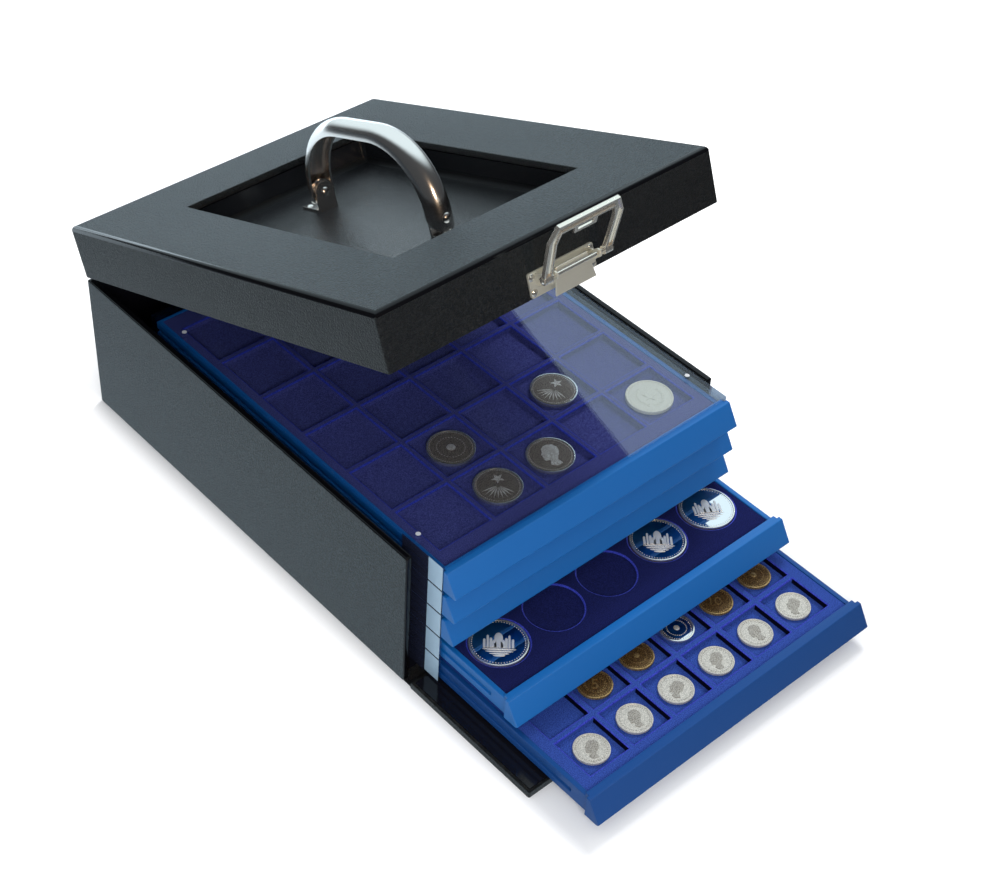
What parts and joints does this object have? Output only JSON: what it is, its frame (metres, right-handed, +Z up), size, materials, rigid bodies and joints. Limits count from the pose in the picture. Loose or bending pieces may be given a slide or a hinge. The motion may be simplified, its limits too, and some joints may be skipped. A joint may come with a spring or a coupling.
{
  "type": "coin collector cabinet",
  "caption": "Black carrying case with a hinged lid, recessed handle, latch and drop front, holding a stack of clear coin boxes with blue sliding drawers.",
  "frame": {"origin": "centre of the case's underside, between its side walls and between its front edge and back", "axes": "+X to the right seen from the front, +Y to the back, +Z up; the lid stands part open and the flap lies forward"},
  "size_m": [0.254, 0.4987, 0.2914],
  "materials": {
    "leathercloth": "fine grained, satin",
    "hinge_cloth": "fine grained, satin",
    "lining": "gloss",
    "tray": "gloss",
    "chrome": "polished",
    "nickel": "polished nickel",
    "steel": "satin",
    "clear": "clear gloss",
    "blue": "satin",
    "velvet": "flocked",
    "silver": "struck",
    "coin_brass": "struck"
  },
  "bodies": {
    "case": {"case_floor": "leathercloth", "case_left_wall": "leathercloth", "case_right_wall": "leathercloth", "case_back_wall": "leathercloth", "case_floor_lining": "lining", "case_side_linings": "lining", "case_back_lining": "lining", "hinge_case_leaves": "steel", "hinge_pins": "steel", "hinge_case_rivets": "steel", "flap_hinge_cloth": "hinge_cloth"},
    "flap": {"front_flap": "leathercloth", "flap_lining": "lining", "latch_keeper": "nickel", "keeper_rivets": "nickel"},
    "lid": {"lid_top": "leathercloth", "lid_left_skirt": "leathercloth", "lid_right_skirt": "leathercloth", "lid_front_skirt": "leathercloth", "lid_back_skirt": "leathercloth", "lid_linings": "lining", "lid_recess_tray": "tray", "hinge_lid_leaves": "steel", "hinge_lid_rivets": "steel", "handle_brackets": "chrome", "handle_pins": "chrome", "handle_bracket_rivets": "chrome", "latch_base": "nickel", "latch_rivets": "nickel", "latch_lever_pin": "nickel"},
    "handle": {"carry_handle": "chrome"},
    "latch_lever_body": {"latch_lever": "nickel", "latch_loop_pin": "nickel"},
    "latch_loop_body": {"latch_loop": "nickel"},
    "stack": {"box_shell_1": "clear", "box_shell_2": "clear", "box_shell_3": "clear", "box_shell_4": "clear", "box_shell_5": "clear"},
    "drawer_1_body": {"drawer_1": "blue", "insert_1": "velvet", "coins_top_dark": "silver", "coins_top_pale": "silver"},
    "drawer_2_body": {"drawer_2": "blue", "insert_2": "velvet"},
    "drawer_3_body": {"drawer_3": "blue", "insert_3": "velvet"},
    "drawer_4_body": {"drawer_4": "blue", "insert_4": "velvet", "coins_proof": "silver"},
    "drawer_5_body": {"drawer_5": "blue", "insert_5": "velvet", "coins_low_pale": "silver", "coins_low_brass": "coin_brass", "coins_low_dark": "silver"}
  },
  "joints": [
    {"name": "lid_hinge", "type": "hinge", "parent": "case", "child": "lid", "pos_m": [0, 0.1673, 0.10665], "axis": [-1, 0, 0], "range_deg": [-22, 78]},
    {"name": "flap_hinge", "type": "hinge", "parent": "case", "child": "flap", "pos_m": [0, -0.171, 0], "axis": [1, 0, 0], "range_deg": [-1, 90], "deforming": ["flap_hinge_cloth"]},
    {"name": "handle_hinge", "type": "hinge", "parent": "lid", "child": "handle", "pos_m": [0, 0.01781, 0.19525], "axis": [0, 0.9272, -0.3746], "range_deg": [-88, 88]},
    {"name": "latch_lever_hinge", "type": "hinge", "parent": "lid", "child": "latch_lever_body", "pos_m": [0, -0.14738, 0.24582], "axis": [-1, 0, 0], "range_deg": [0, 52]},
    {"name": "latch_loop_hinge", "type": "hinge", "parent": "latch_lever_body", "child": "latch_loop_body", "pos_m": [0, -0.15479, 0.25258], "axis": [1, 0, 0], "range_deg": [-56, 150]},
    {"name": "stack_slide", "type": "slide", "parent": "case", "child": "stack", "axis": [0, -1, 0], "range_m": [-0.05, 0.09]},
    {"name": "drawer_1_slide", "type": "slide", "parent": "stack", "child": "drawer_1_body", "axis": [0, -1, 0], "range_m": [0, 0.23]},
    {"name": "drawer_2_slide", "type": "slide", "parent": "stack", "child": "drawer_2_body", "axis": [0, -1, 0], "range_m": [0, 0.23]},
    {"name": "drawer_3_slide", "type": "slide", "parent": "stack", "child": "drawer_3_body", "axis": [0, -1, 0], "range_m": [0, 0.23]},
    {"name": "drawer_4_slide", "type": "slide", "parent": "stack", "child": "drawer_4_body", "axis": [0, -1, 0], "range_m": [-0.057, 0.173]},
    {"name": "drawer_5_slide", "type": "slide", "parent": "stack", "child": "drawer_5_body", "axis": [0, -1, 0], "range_m": [-0.127, 0.103]}
  ]
}
